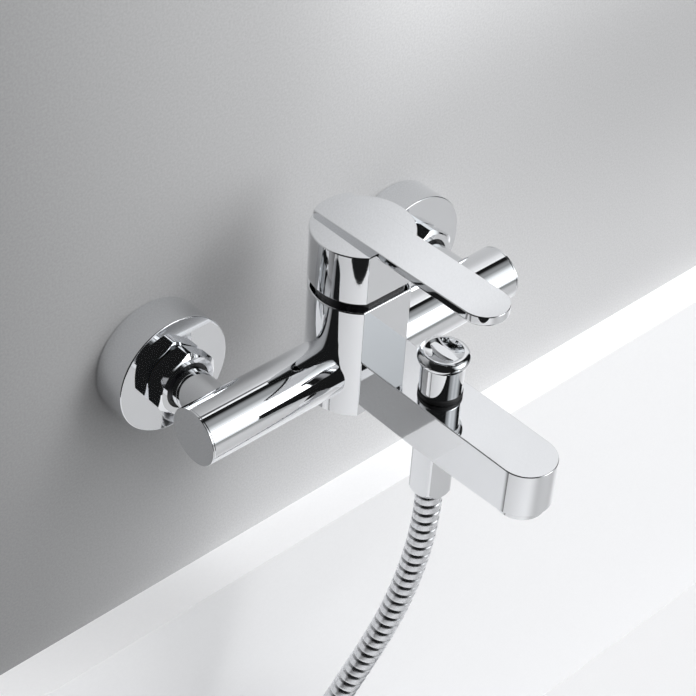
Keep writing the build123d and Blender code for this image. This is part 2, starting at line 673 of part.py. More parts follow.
# ---- aerator under the spout's tip ------------------------------------------------------
with BuildPart() as aerator_housing:
    lathe(
        upright(0, AERATOR_Y),
        [
            (8.4, AXIS_Z - 16.0),
            (10.9, AXIS_Z - 16.0),
            (11.4, AXIS_Z - 15.5),
            (11.4, AXIS_Z - 9.25),
            (10.2, AXIS_Z - 9.25),
            (10.2, AXIS_Z - 3.2),
            (9.0, AXIS_Z - 3.2),
            (9.0, AXIS_Z - 14.8),
            (8.4, AXIS_Z - 14.8),
        ],
    )
save(aerator_housing, "aerator_housing")

with BuildPart() as aerator_insert:
    rod_z(0, AERATOR_Y, 8.95, AXIS_Z - 14.75, AXIS_Z - 6.0)
    rod_z(0, AERATOR_Y, 7.6, AXIS_Z - 12.75, AXIS_Z - 6.0, mode=Mode.SUBTRACT)
    with BuildSketch(Plane.XY.offset(AXIS_Z - 14.75)) as jets:
        with Locations((0, AERATOR_Y)):
            with HexLocations(1.0, 7, 7):
                Circle(0.62)
    extrude(jets.sketch, amount=2.0, mode=Mode.SUBTRACT)
save(aerator_insert, "aerator_insert")

with BuildPart() as aerator_screen:
    rod_z(0, AERATOR_Y, 8.9, AXIS_Z - 5.95, AXIS_Z - 5.35)
    with BuildSketch(Plane.XY.offset(AXIS_Z - 6)) as mesh_holes:
        with Locations((0, AERATOR_Y)):
            with HexLocations(1.1, 7, 7):
                Circle(0.75)
    extrude(mesh_holes.sketch, amount=2, mode=Mode.SUBTRACT)
save(aerator_screen, "aerator_screen")

with BuildPart() as aerator_gasket:
    ring_z(0, AERATOR_Y, 7.5, 10.0, AXIS_Z - 3.2, AERATOR_LEDGE)
save(aerator_gasket, "aerator_gasket")


# ---- shower hose: upper end, hanging length, tied coil, lower end ------------------------
FERRULE_TOP = AXIS_Z - 25.8

with BuildPart() as hose_nut:
    length = HOSE_NUT_TOP - HOSE_NUT_BOTTOM
    with BuildSketch(Plane((0, DIVERTER_Y, HOSE_NUT_BOTTOM))) as nut_outline:
        RegularPolygon(HOSE_NUT_FLATS / 2, 6, major_radius=False, rotation=20)
    extrude(nut_outline.sketch, amount=length)
    with BuildSketch(at_diverter()) as nut_limit:
        with BuildLine():
            Polyline(
                (8.0, HOSE_NUT_BOTTOM),
                (0, HOSE_NUT_BOTTOM),
                (0, HOSE_NUT_TOP),
                (9.6, HOSE_NUT_TOP),
                (HOSE_NUT_TURNED_R, HOSE_NUT_TOP - 0.6),
                (HOSE_NUT_TURNED_R, HOSE_NUT_BOTTOM + 4.4),
            )
            ThreePointArc(
                (HOSE_NUT_TURNED_R, HOSE_NUT_BOTTOM + 4.4),
                (10.0, HOSE_NUT_BOTTOM + 1.8),
                (8.0, HOSE_NUT_BOTTOM),
            )
        make_face()
    axis = Axis((0, DIVERTER_Y, 0), (0, 0, 1))
    revolve(nut_limit.sketch, axis=axis, mode=Mode.INTERSECT)
    thread_r = PIPE_THREE_EIGHTH_R + THREAD_PLAY
    rod_z(0, DIVERTER_Y, thread_r, FERRULE_TOP, HOSE_NUT_TOP, mode=Mode.SUBTRACT)
    rod_z(0, DIVERTER_Y, 8.25, HOSE_START, FERRULE_TOP, mode=Mode.SUBTRACT)
    rod_z(0, DIVERTER_Y, HOSE_R + 0.3, HOSE_NUT_BOTTOM, HOSE_START, mode=Mode.SUBTRACT)
save(hose_nut, "hose_nut")

with BuildPart() as hose_washer:
    ring_z(0, DIVERTER_Y, 4.6, 8.1, FERRULE_TOP, AXIS_Z - 24)
save(hose_washer, "hose_washer")

with BuildPart() as hose_ferrule:
    rod_z(0, DIVERTER_Y, 8.1, FERRULE_TOP - 1.6, FERRULE_TOP)
    rod_z(0, DIVERTER_Y, 7.6, HOSE_START, FERRULE_TOP - 1.6)
    rod_z(0, DIVERTER_Y, 4.2, HOSE_START, FERRULE_TOP, mode=Mode.SUBTRACT)
save(hose_ferrule, "hose_ferrule")

# The hose hangs in an upright plane turned 45 degrees to the wall. Its route is given as
# (towards the wall and left, height above the body's axis, out of that plane).
COIL_R = 65.0
COIL_PITCH = 13.4
COIL_TURNS = 3
COIL_Z = -295.0
COIL_HALF = COIL_PITCH * COIL_TURNS / 2
ACROSS = Vector(-cos(radians(45)), sin(radians(45)), 0)
NORMAL = Vector(cos(radians(45)), sin(radians(45)), 0)
HOSE_ROUTE = [
    (0.0, -42.9, 0.0),
    (0.0, -62.0, 0.0),
    (1.9, -84.0, -0.2),
    (6.2, -109.0, -1.0),
    (13.6, -136.0, -2.6),
    (24.4, -164.0, -5.2),
    (37.0, -193.0, -8.8),
    (48.6, -222.0, -12.8),
    (57.8, -250.0, -16.6),
    (63.2, -274.0, -19.2),
    (65.0, -295.0, -20.1),
]


def hang(across, height, aside):
    """A point of the hose's own plane, in the row's frame."""
    base = Vector(0, DIVERTER_Y, AXIS_Z + height)
    return base + ACROSS * across + NORMAL * aside


route = [hang(*point) for point in HOSE_ROUTE]
radii = []
for before, here, after in zip(route, route[1:], route[2:]):
    turn = radians((here - before).get_angle(after - here))
    shorter = min((here - before).length, (after - here).length)
    radii.append(0.45 * shorter / tan(turn / 2))
print("hose bend radii", [round(radius) for radius in radii])

with BuildPart() as hose:
    with BuildLine() as hose_path:
        FilletPolyline(*route, radius=radii)
    with BuildSketch(Plane(route[0], z_dir=route[1] - route[0])):
        Circle(HOSE_R)
    sweep()
hose_length = hose_path.wire().length
section_volume = pi * HOSE_R**2 * hose_length
print("hanging length", round(hose_length, 1), "volume", hose.part.volume / section_volume)
save(hose, "shower_hose")

coil_centre = hang(0, COIL_Z, 0)
with BuildPart(Plane(coil_centre, x_dir=ACROSS, z_dir=NORMAL)) as hose_coil:
    Cylinder(COIL_R + HOSE_R + 0.2, 2 * COIL_HALF + 2 * HOSE_R)
    Cylinder(COIL_R - HOSE_R - 0.2, 2 * COIL_HALF + 2 * HOSE_R, mode=Mode.SUBTRACT)
    chamfer(hose_coil.edges().filter_by(GeomType.CIRCLE), 2.0)
save(hose_coil, "shower_hose_coil")

TIE_WALL = 1.6
tie_base = coil_centre + Vector(0, 0, -COIL_R)
with BuildPart(Plane(tie_base, x_dir=ACROSS, z_dir=NORMAL)) as hose_tie:
    inside = 2 * COIL_HALF + 2 * HOSE_R + 0.8
    Box(14, 2 * HOSE_R + 2.4 + 2 * TIE_WALL, inside + 2 * TIE_WALL)
    fillet(hose_tie.edges().filter_by(Axis(tie_base, ACROSS)), 1.5)
    Box(14, 2 * HOSE_R + 2.4, inside, mode=Mode.SUBTRACT)
save(hose_tie, "hose_tie")

TAIL = 50.0
CONE_LENGTH = 38.0
CONE_THREAD = 9.6
tail_top = hang(COIL_R, COIL_Z, COIL_HALF)
tail_x = tail_top.X
tail_y = tail_top.Y
tail_low = tail_top.Z - TAIL
with BuildPart() as hose_tail:
    rod_z(tail_x, tail_y, HOSE_R, tail_low, tail_top.Z)
save(hose_tail, "shower_hose_tail")

cone_bottom = tail_low - CONE_LENGTH + 2
with BuildPart() as cone_nut:
    lathe(
        upright(tail_x, tail_y),
        [
            (HOSE_R + 0.3, tail_low + 2),
            (7.8, tail_low + 2),
            (8.6, tail_low + 1.2),
            (11.6, cone_bottom + 12),
            (11.9, cone_bottom + 1.5),
            (11.4, cone_bottom),
            (PIPE_HALF_R, cone_bottom),
            (PIPE_HALF_R, cone_bottom + CONE_THREAD),
            (10.7, cone_bottom + CONE_THREAD),
            (10.7, cone_bottom + 12),
            (7.9, cone_bottom + 12.6),
            (7.9, tail_low),
            (HOSE_R + 0.3, tail_low),
        ],
    )
save(cone_nut, "hose_cone_nut")

with BuildPart() as end_ferrule:
    ring_z(tail_x, tail_y, 4.2, 7.8, cone_bottom + 13.2, tail_low)
    ring_z(tail_x, tail_y, 4.2, 7.7, cone_bottom + 12.0, cone_bottom + 13.2)
save(end_ferrule, "hose_end_ferrule")

with BuildPart() as end_washer:
    ring_z(tail_x, tail_y, 5.2, 10.2, cone_bottom + 10, cone_bottom + 12)
save(end_washer, "hose_end_washer")
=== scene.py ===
"""Looks of the wall mounted bath faucet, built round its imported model.

Metres, in the row's frame: the origin is on the wall, half way between the inlets, +X runs
right along the wall, +Y goes into it and +Z is up. Outlines are in millimetres.
"""
import json
from math import asin, ceil, cos, degrees, pi, radians, sin, sqrt, tan

import bmesh
import bpy
from mathutils import Matrix, Vector


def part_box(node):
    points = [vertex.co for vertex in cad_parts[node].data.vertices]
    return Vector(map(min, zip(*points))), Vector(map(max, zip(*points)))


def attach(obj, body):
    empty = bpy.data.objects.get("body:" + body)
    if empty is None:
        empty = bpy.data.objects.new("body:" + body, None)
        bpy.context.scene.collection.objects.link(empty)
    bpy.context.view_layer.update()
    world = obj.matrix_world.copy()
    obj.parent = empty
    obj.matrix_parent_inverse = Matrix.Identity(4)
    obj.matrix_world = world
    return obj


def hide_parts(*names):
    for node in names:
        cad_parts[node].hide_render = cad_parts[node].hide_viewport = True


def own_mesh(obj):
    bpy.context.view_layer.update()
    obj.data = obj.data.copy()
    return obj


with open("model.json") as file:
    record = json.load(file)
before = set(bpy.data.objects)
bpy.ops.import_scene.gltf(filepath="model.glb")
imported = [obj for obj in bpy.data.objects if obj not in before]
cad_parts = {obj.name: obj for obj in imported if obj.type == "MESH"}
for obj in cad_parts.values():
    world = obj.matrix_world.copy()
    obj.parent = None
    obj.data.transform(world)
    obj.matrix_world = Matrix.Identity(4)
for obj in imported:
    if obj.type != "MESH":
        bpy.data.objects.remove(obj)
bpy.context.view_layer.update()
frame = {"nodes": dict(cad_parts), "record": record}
nodes = frame["nodes"]
scene = bpy.context.scene
MM = 0.001

# ---- sizes taken from the frame, in millimetres -----------------------------------------------


def middle(node):
    """Centre of a CAD node's box, in millimetres."""
    low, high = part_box(node)
    return (low + high) / 2 / MM


def reach(node):
    """Lowest and highest corner of a CAD node's box, in millimetres."""
    low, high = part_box(node)
    return low / MM, high / MM


AXIS_Z = middle("tube_end_plug_left").z
AXIS_Y = middle("tube_end_plug_left").y
INLET_X = middle("wall_rose_right").x
TUBE_END = reach("tube_end_plug_right")[1].x
DIVERTER_Y = middle("diverter_knob").y
AERATOR_Y = middle("aerator_housing").y

# ---- camera -----------------------------------------------------------------------------------
# solved once, outside this script, from outlines of the faucet measured in the photograph
CAMERA_AZIMUTH = radians(-44.525)
CAMERA_ELEVATION = radians(39.569)
CAMERA_ROLL = radians(3.724)
CAMERA_DISTANCE = 865.8
CAMERA_ASIDE = 35.0
CAMERA_DOWN = 27.4
CAMERA_LENS = 93.69


def make_camera():
    """Camera to the left of, above and in front of the faucet, rolled a little."""
    azimuth, elevation = CAMERA_AZIMUTH, CAMERA_ELEVATION
    back = Vector((sin(azimuth) * cos(elevation), -cos(azimuth) * cos(elevation), sin(elevation)))
    level = (-back).cross(Vector((0, 0, 1))).normalized()
    upright = level.cross(-back)
    right = level * cos(CAMERA_ROLL) + upright * sin(CAMERA_ROLL)
    up = upright * cos(CAMERA_ROLL) - level * sin(CAMERA_ROLL)
    place = back * CAMERA_DISTANCE + right * CAMERA_ASIDE - up * CAMERA_DOWN + Vector((0, 0, AXIS_Z))
    data = bpy.data.cameras.new("camera")
    data.lens = CAMERA_LENS
    data.clip_start = 0.05
    data.clip_end = 20
    camera = bpy.data.objects.new("camera", data)
    scene.collection.objects.link(camera)
    turned = Matrix((right, up, back)).transposed().to_4x4()
    camera.matrix_world = Matrix.Translation(place * MM) @ turned
    scene.camera = camera


make_camera()

# ---- shower hose: route, ribbed tube ----------------------------------------------------------
HOSE_R = 6.5
RIB_PITCH = 5.5
RIB_DEPTH = 1.0
COIL_R = 65.0
COIL_Z = -295.0
COIL_HALF = 20.1
COIL_TURNS = 3
COIL_POINTS = 16
TAIL = 50.0
# (towards the wall and left, height above the body's axis, out of the hose's upright plane)
HOSE_ROUTE = [
    (0.0, -42.9, 0.0),
    (0.0, -62.0, 0.0),
    (1.9, -84.0, -0.2),
    (6.2, -109.0, -1.0),
    (13.6, -136.0, -2.6),
    (24.4, -164.0, -5.2),
    (37.0, -193.0, -8.8),
    (48.6, -222.0, -12.8),
    (57.8, -250.0, -16.6),
    (63.2, -274.0, -19.2),
]


def hang(across, height, aside):
    """A point of the hose's own upright plane, which is turned 45 degrees to the wall."""
    slant = cos(radians(45))
    return Vector(
        (slant * (aside - across), DIVERTER_Y + slant * (aside + across), AXIS_Z + height)
    )


def hose_points():
    """Control points of the whole hose: hanging length, coil, and tail with the cone nut."""
    points = [hang(*point) for point in HOSE_ROUTE]
    control_r = COIL_R / cos(pi / COIL_POINTS)
    for k in range(COIL_TURNS * COIL_POINTS + 1):
        angle = 2 * pi * k / COIL_POINTS
        aside = -COIL_HALF + 2 * COIL_HALF * k / (COIL_TURNS * COIL_POINTS)
        points.append(hang(control_r * cos(angle), COIL_Z - control_r * sin(angle), aside))
    for drop in (17.0, 34.0, TAIL):
        points.append(hang(COIL_R, COIL_Z - drop, COIL_HALF))
    return points


def nurbs_line(points):
    """Points read from the smooth NURBS curve that has these control points."""
    data = bpy.data.curves.new("hose_line", "CURVE")
    data.dimensions = "3D"
    spline = data.splines.new("NURBS")
    spline.points.add(len(points) - 1)
    for point, target in zip(points, spline.points):
        target.co = (*(point * MM), 1)
    spline.order_u = 3
    spline.use_endpoint_u = True
    spline.resolution_u = 12
    curve = bpy.data.objects.new("hose_line", data)
    scene.collection.objects.link(curve)
    bpy.context.view_layer.update()
    mesh = bpy.data.meshes.new_from_object(
        curve.evaluated_get(bpy.context.evaluated_depsgraph_get())
    )
    line = [vertex.co.copy() for vertex in mesh.vertices]
    bpy.data.objects.remove(curve)
    bpy.data.meshes.remove(mesh)
    return line


def even(line, step):
    """The line's points moved to even steps along it."""
    total = sum((b - a).length for a, b in zip(line, line[1:]))
    count = ceil(total / step)
    spacing = total / count
    out = [line[0].copy()]
    done = 0.0
    for a, b in zip(line, line[1:]):
        length = (b - a).length
        while len(out) <= count and len(out) * spacing <= done + length + 1e-9:
            out.append(a.lerp(b, (len(out) * spacing - done) / length))
        done += length
    return out


def rib_radius(phase):
    """Radius of the hose at a phase of one rib: almost flat crown, then a narrow groove."""
    crown, shoulder = 0.8, 0.16
    if phase < crown:
        return HOSE_R - shoulder * (2 * phase / crown - 1) ** 4
    dip = (phase - crown) / (1 - crown)
    return HOSE_R - shoulder - (RIB_DEPTH - shoulder) * sin(pi * dip)


def spiral_tube(line, rings_per_rib, around):
    """Tube round a line whose ribs run as one screw thread: each ring is a slanting turn."""
    tangents = [(b - a).normalized() for a, b in zip(line, line[1:])]
    tangents.append(tangents[-1])
    side = tangents[0].orthogonal().normalized()
    frames = []
    for tangent in tangents:
        side = (side - tangent * side.dot(tangent)).normalized()
        frames.append((side.copy(), tangent.cross(side)))
    last = len(line) - 1
    vertices = []
    count = last - rings_per_rib
    for i in range(count + 1):
        radius = rib_radius((i % rings_per_rib) / rings_per_rib) * MM
        for j in range(around):
            place = i + rings_per_rib * j / around
            low = min(int(place), last - 1)
            centre = line[low].lerp(line[low + 1], place - low)
            angle = 2 * pi * j / around
            out = frames[low][0] * cos(angle) + frames[low][1] * sin(angle)
            vertices.append(centre + out * radius)
    faces = []
    for i in range(count):
        for j in range(around):
            k = (j + 1) % around
            ahead = i if k else i + rings_per_rib  # at the seam a turn joins the next one
            if ahead < count:
                faces.append(
                    (i * around + j, ahead * around + k, (ahead + 1) * around + k, (i + 1) * around + j)
                )
    return vertices, faces


def add_mesh(name, vertices, faces):
    """Mesh object of points in metres, linked to the scene."""
    mesh = bpy.data.meshes.new(name)
    mesh.from_pydata([tuple(vertex) for vertex in vertices], [], faces)
    mesh.validate()
    made = bpy.data.objects.new(name, mesh)
    scene.collection.objects.link(made)
    return made


def make_hose():
    """Ribbed steel hose along the smooth line, from inside its nut to inside the cone nut."""
    line = nurbs_line(hose_points())
    rings_per_rib, around = 12, 28
    fine = even(line, RIB_PITCH * MM / rings_per_rib)
    vertices, faces = spiral_tube(fine, rings_per_rib, around)
    made = add_mesh("ribbed_shower_hose", vertices, faces)
    made.data.shade_smooth()
    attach(made, "wall_body")
    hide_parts("shower_hose", "shower_hose_coil", "shower_hose_tail")
    return made, line


hose, hose_line = make_hose()

# ---- materials --------------------------------------------------------------------------------
NOISE_LOW, NOISE_HIGH = 0.3, 0.7  # most values of a noise lie between these


def surface(name, colour, metallic, rough, drift, patch, grain, bump, **values):
    """Procedural surface. colour drifts by drift over patches; roughness goes between the two
    values of rough; a fine grain of that size in metres is raised by bump metres."""
    made = bpy.data.materials.new(name)
    made.use_nodes = True
    tree = made.node_tree
    shader = tree.nodes["Principled BSDF"]
    place = tree.nodes.new("ShaderNodeTexCoord")
    broad = tree.nodes.new("ShaderNodeTexNoise")
    broad.inputs["Scale"].default_value = 1 / patch
    broad.inputs["Detail"].default_value = 3
    tree.links.new(place.outputs["Object"], broad.inputs["Vector"])
    tones = tree.nodes.new("ShaderNodeValToRGB")
    tones.color_ramp.elements[0].position = NOISE_LOW
    tones.color_ramp.elements[1].position = NOISE_HIGH
    for end, factor in ((0, 1 - drift), (1, 1 + drift)):
        tone = [min(1.0, channel * factor) for channel in colour]
        tones.color_ramp.elements[end].color = (*tone, 1)
    tree.links.new(broad.outputs["Fac"], tones.inputs["Fac"])
    tree.links.new(tones.outputs["Color"], shader.inputs["Base Color"])
    spread = tree.nodes.new("ShaderNodeMapRange")
    spread.inputs["From Min"].default_value = NOISE_LOW
    spread.inputs["From Max"].default_value = NOISE_HIGH
    spread.inputs["To Min"].default_value = rough[0]
    spread.inputs["To Max"].default_value = rough[1]
    tree.links.new(broad.outputs["Fac"], spread.inputs["Value"])
    tree.links.new(spread.outputs["Result"], shader.inputs["Roughness"])
    fine = tree.nodes.new("ShaderNodeTexNoise")
    fine.inputs["Scale"].default_value = 1 / grain
    fine.inputs["Detail"].default_value = 2
    tree.links.new(place.outputs["Object"], fine.inputs["Vector"])
    relief = tree.nodes.new("ShaderNodeBump")
    relief.inputs["Strength"].default_value = 1.0
    relief.inputs["Distance"].default_value = bump
    tree.links.new(fine.outputs["Fac"], relief.inputs["Height"])
    tree.links.new(relief.outputs["Normal"], shader.inputs["Normal"])
    shader.inputs["Metallic"].default_value = metallic
    for socket, value in values.items():
        shader.inputs[socket.replace("_", " ")].default_value = value
    return made


CHROME = (0.86, 0.87, 0.885)
finishes = {
    "chrome": surface("polished_chrome", CHROME, 1, (0.025, 0.05), 0.015, 0.03, 0.0018, 1.5e-6),
    "brass": surface("turned_brass", (0.72, 0.53, 0.25), 1, (0.22, 0.36), 0.06, 0.006, 0.0004, 6e-6),
    "steel": surface("bright_steel", (0.60, 0.61, 0.63), 1, (0.16, 0.28), 0.04, 0.005, 0.0003, 4e-6),
    "hose_steel": surface("hose_strip", (0.80, 0.81, 0.83), 1, (0.24, 0.32), 0.03, 0.004, 0.0004, 3e-6),
    "rubber": surface("black_rubber", (0.012, 0.012, 0.013), 0, (0.42, 0.6), 0.2, 0.004, 0.0003, 8e-6),
    "fibre": surface("red_fibre", (0.28, 0.09, 0.06), 0, (0.75, 0.9), 0.18, 0.002, 0.0003, 2e-5),
    "black_plastic": surface("black_plastic", (0.014, 0.014, 0.016), 0, (0.2, 0.32), 0.2, 0.006,
                             0.0004, 4e-6),
    "white_plastic": surface("white_plastic", (0.78, 0.78, 0.75), 0, (0.34, 0.46), 0.03, 0.006,
                             0.0005, 5e-6),
    "chrome_plastic": surface("chromed_plastic", CHROME, 1, (0.04, 0.08), 0.02, 0.01, 0.001, 2e-6),
    "ceramic": surface("lapped_ceramic", (0.86, 0.85, 0.81), 0, (0.08, 0.16), 0.02, 0.004, 0.0005,
                       1e-6),
}


def paint_groove_shade(material):
    """Painted shade in the narrow joints of the hose strip, found by how hollow the mesh is."""
    deep, flush, darkest = 0.42, 0.49, 0.04
    tree = material.node_tree
    shader = tree.nodes["Principled BSDF"]
    colour = shader.inputs["Base Color"].links[0].from_socket
    # painted shade: the base colour is darkened where the mesh is hollow, in the joints between the ribs
    shape = tree.nodes.new("ShaderNodeNewGeometry")
    shade = tree.nodes.new("ShaderNodeMapRange")
    shade.inputs["From Min"].default_value = deep
    shade.inputs["From Max"].default_value = flush
    shade.inputs["To Min"].default_value = darkest
    shade.inputs["To Max"].default_value = 1.0
    tree.links.new(shape.outputs["Pointiness"], shade.inputs["Value"])
    scaled = tree.nodes.new("ShaderNodeVectorMath")
    scaled.operation = "SCALE"
    tree.links.new(colour, scaled.inputs[0])
    tree.links.new(shade.outputs["Result"], scaled.inputs["Scale"])
    tree.links.new(scaled.outputs["Vector"], shader.inputs["Base Color"])


paint_groove_shade(finishes["hose_steel"])
for part in frame["record"]["subparts"]:
    finish = finishes[part["material_slot"]]
    node = nodes[part["node"]]
    if not node.material_slots:
        node.data.materials.append(finish)
    for slot in node.material_slots:
        slot.material = finish
hose.data.materials.append(finishes["hose_steel"])

# ---- mesh building blocks: outlines in millimetres --------------------------------------------
SEGMENTS = 144
UPRIGHT = Matrix.Identity(3)
OUTWARD = Matrix(((1, 0, 0), (0, 0, -1), (0, 1, 0)))  # height runs out from the wall
RIGHTWARD = Matrix(((0, 0, 1), (1, 0, 0), (0, 1, 0)))  # height runs along the wall
LEFTWARD = Matrix(((0, 0, -1), (-1, 0, 0), (0, 1, 0)))


def soften(outline, radius, steps=5, closed=True):
    """Round an outline's corners with arcs; corners under 20 degrees stay."""
    out = []
    count = len(outline)
    for i, here in enumerate(outline):
        here = Vector(here)
        if not closed and i in (0, count - 1):
            out.append(here)
            continue
        back = Vector(outline[i - 1]) - here
        ahead = Vector(outline[(i + 1) % count]) - here
        turn = pi - back.angle(ahead)
        if turn < radians(20) or here.x < 1e-6:
            out.append(here)
            continue
        along = min(radius * tan(turn / 2), 0.48 * back.length, 0.48 * ahead.length)
        start = here + back.normalized() * along
        bisector = (back.normalized() + ahead.normalized()).normalized()
        arc_r = along / tan(turn / 2)
        centre = here + bisector * (arc_r / cos(turn / 2))
        spoke = start - centre
        way = 1 if back.x * ahead.y - back.y * ahead.x < 0 else -1
        for k in range(steps + 1):
            angle = way * turn * k / steps
            turned = Vector(
                (spoke.x * cos(angle) - spoke.y * sin(angle), spoke.x * sin(angle) + spoke.y * cos(angle))
            )
            out.append(centre + turned)
    return out


def arc(radius, start, end, steps, centre=(0, 0)):
    """Points of an arc between two angles in degrees."""
    points = []
    for k in range(steps + 1):
        angle = radians(start + (end - start) * k / steps)
        points.append((centre[0] + radius * cos(angle), centre[1] + radius * sin(angle)))
    return points


def put(name, points, faces, turn, place):
    """Mesh object from local points in millimetres, turned and placed in the row's frame."""
    base = Vector(place)
    return add_mesh(name, [(turn @ Vector(point) + base) * MM for point in points], faces)


def lathe(name, outline, turn, place, segments=SEGMENTS, height=None):
    """Closed outline of (radius, height) turned round the local upright axis. height, if given,
    is a function of (radius, angle, height) that lifts or lowers each point."""
    points = []
    rings = []
    for radius, level in outline:
        if radius < 1e-6:
            rings.append([len(points)] * segments)
            points.append((0, 0, level if height is None else height(0, 0, level)))
            continue
        ring = []
        for j in range(segments):
            angle = 2 * pi * j / segments
            lifted = level if height is None else height(radius, angle, level)
            ring.append(len(points))
            points.append((radius * cos(angle), radius * sin(angle), lifted))
        rings.append(ring)
    faces = []
    for here, after in zip(rings, rings[1:] + rings[:1]):
        if here[0] == here[1] and after[0] == after[1]:
            continue
        for j in range(segments):
            k = (j + 1) % segments
            corners = []
            for index in (here[j], here[k], after[k], after[j]):
                if index not in corners:
                    corners.append(index)
            faces.append(tuple(corners))
    return put(name, points, faces, turn, place)


def inset(outline, distance):
    """A closed outline moved inwards."""
    count = len(outline)
    area = sum(
        outline[i - 1][0] * outline[i][1] - outline[i][0] * outline[i - 1][1] for i in range(count)
    )
    way = 1 if area > 0 else -1
    moved = []
    for i, here in enumerate(outline):
        before = Vector(here) - Vector(outline[i - 1])
        after = Vector(outline[(i + 1) % count]) - Vector(here)
        first = Vector((before.y, -before.x)).normalized() * way
        second = Vector((after.y, -after.x)).normalized() * way
        outward = (first + second) / (1 + first.dot(second))
        moved.append(Vector(here) - outward * distance)
    return moved


def prism(name, half, low, high, round_low, round_high, steps=4):
    """Upright solid, the same on both sides of x = 0. half is its right outline from back to
    front; low and high are heights, or functions of y."""
    low_at = low if callable(low) else lambda y: low
    high_at = high if callable(high) else lambda y: high
    right = [Vector(point) for point in half]
    left = [Vector((-point.x, point.y)) for point in reversed(right) if point.x > 1e-6]
    outline = right + left
    pairs = []  # each point on the right with its mirror image, for the end faces
    for i, point in enumerate(right):
        mirrored = i
        if point.x > 1e-6:
            shared = 1 if right[-1].x <= 1e-6 else 0
            mirrored = 2 * len(right) - 1 - i - shared
        pairs.append((i, mirrored))
    levels = []
    for k in range(steps + 1):
        swing = pi / 2 * k / steps
        levels.append((low_at, round_low * (1 - sin(swing)), round_low * (1 - cos(swing))))
    for k in range(steps + 1):
        swing = pi / 2 * k / steps
        levels.append((high_at, round_high * (1 - cos(swing)), -round_high * (1 - sin(swing))))
    points = []
    for level_at, inwards, lift in levels:
        for point, flat in zip(inset(outline, inwards), outline):
            points.append((point.x, point.y, level_at(flat.y) + lift))
    count = len(outline)
    faces = []
    for level in range(len(levels) - 1):
        for j in range(count):
            k = (j + 1) % count
            faces.append(
                (level * count + j, level * count + k, (level + 1) * count + k, (level + 1) * count + j)
            )
    top = (len(levels) - 1) * count
    for (a, b), (c, d) in zip(pairs, pairs[1:]):
        under = [a, c, d, b]
        faces.append(tuple(dict.fromkeys(under)))
        faces.append(tuple(dict.fromkeys(top + index for index in reversed(under))))
    return put(name, points, faces, UPRIGHT, (0, 0, 0))


def flatted(radius, flat, corner=0.5):
    """Right half of a round bar on the body's axis with one flat at the front."""
    half = arc(radius, 90, -degrees(asin(flat / radius)), 72, (0, AXIS_Y))
    half[0] = (0, AXIS_Y + radius)
    half.append((0, AXIS_Y - flat))
    return soften(half, corner, closed=False)


def drill(start, end, radius, segments=64):
    """Round cutter between two points in millimetres."""
    start, end = Vector(start), Vector(end)
    turn = (end - start).to_track_quat("Z", "Y").to_matrix()
    outline = [(0, 0), (radius, 0), (radius, (end - start).length), (0, (end - start).length)]
    return lathe("cutter", outline, turn, start, segments)


def cut_box(low, high):
    """Box cutter between two corners in millimetres."""
    points = [(x, y, z) for x in (low[0], high[0]) for y in (low[1], high[1]) for z in (low[2], high[2])]
    faces = [(0, 1, 3, 2), (4, 6, 7, 5), (0, 4, 5, 1), (2, 3, 7, 6), (0, 2, 6, 4), (1, 5, 7, 3)]
    return put("cutter", points, faces, UPRIGHT, (0, 0, 0))


def outward(made):
    """Turn a closed mesh's faces to point outwards."""
    work = bmesh.new()
    work.from_mesh(made.data)
    bmesh.ops.remove_doubles(work, verts=work.verts, dist=1e-7)
    bmesh.ops.recalc_face_normals(work, faces=work.faces)
    work.to_mesh(made.data)
    work.free()


def combine(base, added=(), removed=(), shared=()):
    """Join some solids to the base, cut others from it and keep only what it shares with the
    last ones, as one clean mesh. The other solids are used up."""
    changes = [(solid, "UNION") for solid in added]
    changes += [(solid, "DIFFERENCE") for solid in removed]
    changes += [(solid, "INTERSECT") for solid in shared]
    outward(base)
    for solid, operation in changes:
        outward(solid)
        change = base.modifiers.new("change", "BOOLEAN")
        change.object = solid
        change.operation = operation
        change.solver = "EXACT"
    bpy.context.view_layer.update()
    mesh = bpy.data.meshes.new_from_object(
        base.evaluated_get(bpy.context.evaluated_depsgraph_get())
    )
    base.modifiers.clear()
    base.data = mesh
    for solid, _ in changes:
        bpy.data.objects.remove(solid)


def hexagon_bar(name, flats, first_corner, low, high, turn, place):
    """Hexagon bar between two heights, with its first corner at an angle in degrees."""
    corner = flats / 2 / cos(radians(30))
    points = []
    for level in (low, high):
        for k in range(6):
            angle = radians(first_corner + 60 * k)
            points.append((corner * cos(angle), corner * sin(angle), level))
    faces = [tuple(range(6)), tuple(range(6, 12))]
    for k in range(6):
        after = (k + 1) % 6
        faces.append((k, after, after + 6, k + 6))
    return put(name, points, faces, turn, place)


def clamp(value):
    """The value, kept between 0 and 1."""
    return min(1.0, max(0.0, value))


def finish_piece(made, node, body, edge=0.0, sharp=28):
    """Stand for a CAD node: normals, a worn edge if asked, its finish, its slot and its body."""
    outward(made)
    made.data.materials.clear()
    slot_name = next(p["material_slot"] for p in frame["record"]["subparts"] if p["node"] == node)
    made.data.materials.append(finishes[slot_name])
    made.data.shade_smooth()
    made.data.set_sharp_from_angle(angle=radians(sharp))
    if edge:
        rounding = made.modifiers.new("edges", "BEVEL")
        rounding.width = edge * MM
        rounding.segments = 3
        rounding.limit_method = "ANGLE"
        rounding.angle_limit = radians(sharp)
        rounding.use_clamp_overlap = True
        rounding.miter_outer = "MITER_ARC"
    weighting = made.modifiers.new("normals", "WEIGHTED_NORMAL")
    weighting.mode = "FACE_AREA_WITH_ANGLE"
    weighting.keep_sharp = not edge
    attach(made, body)
    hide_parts(node)
    return made


# ---- wall side --------------------------------------------------------------------------------
TUBE_R = 14  # the cross tube and its end plates


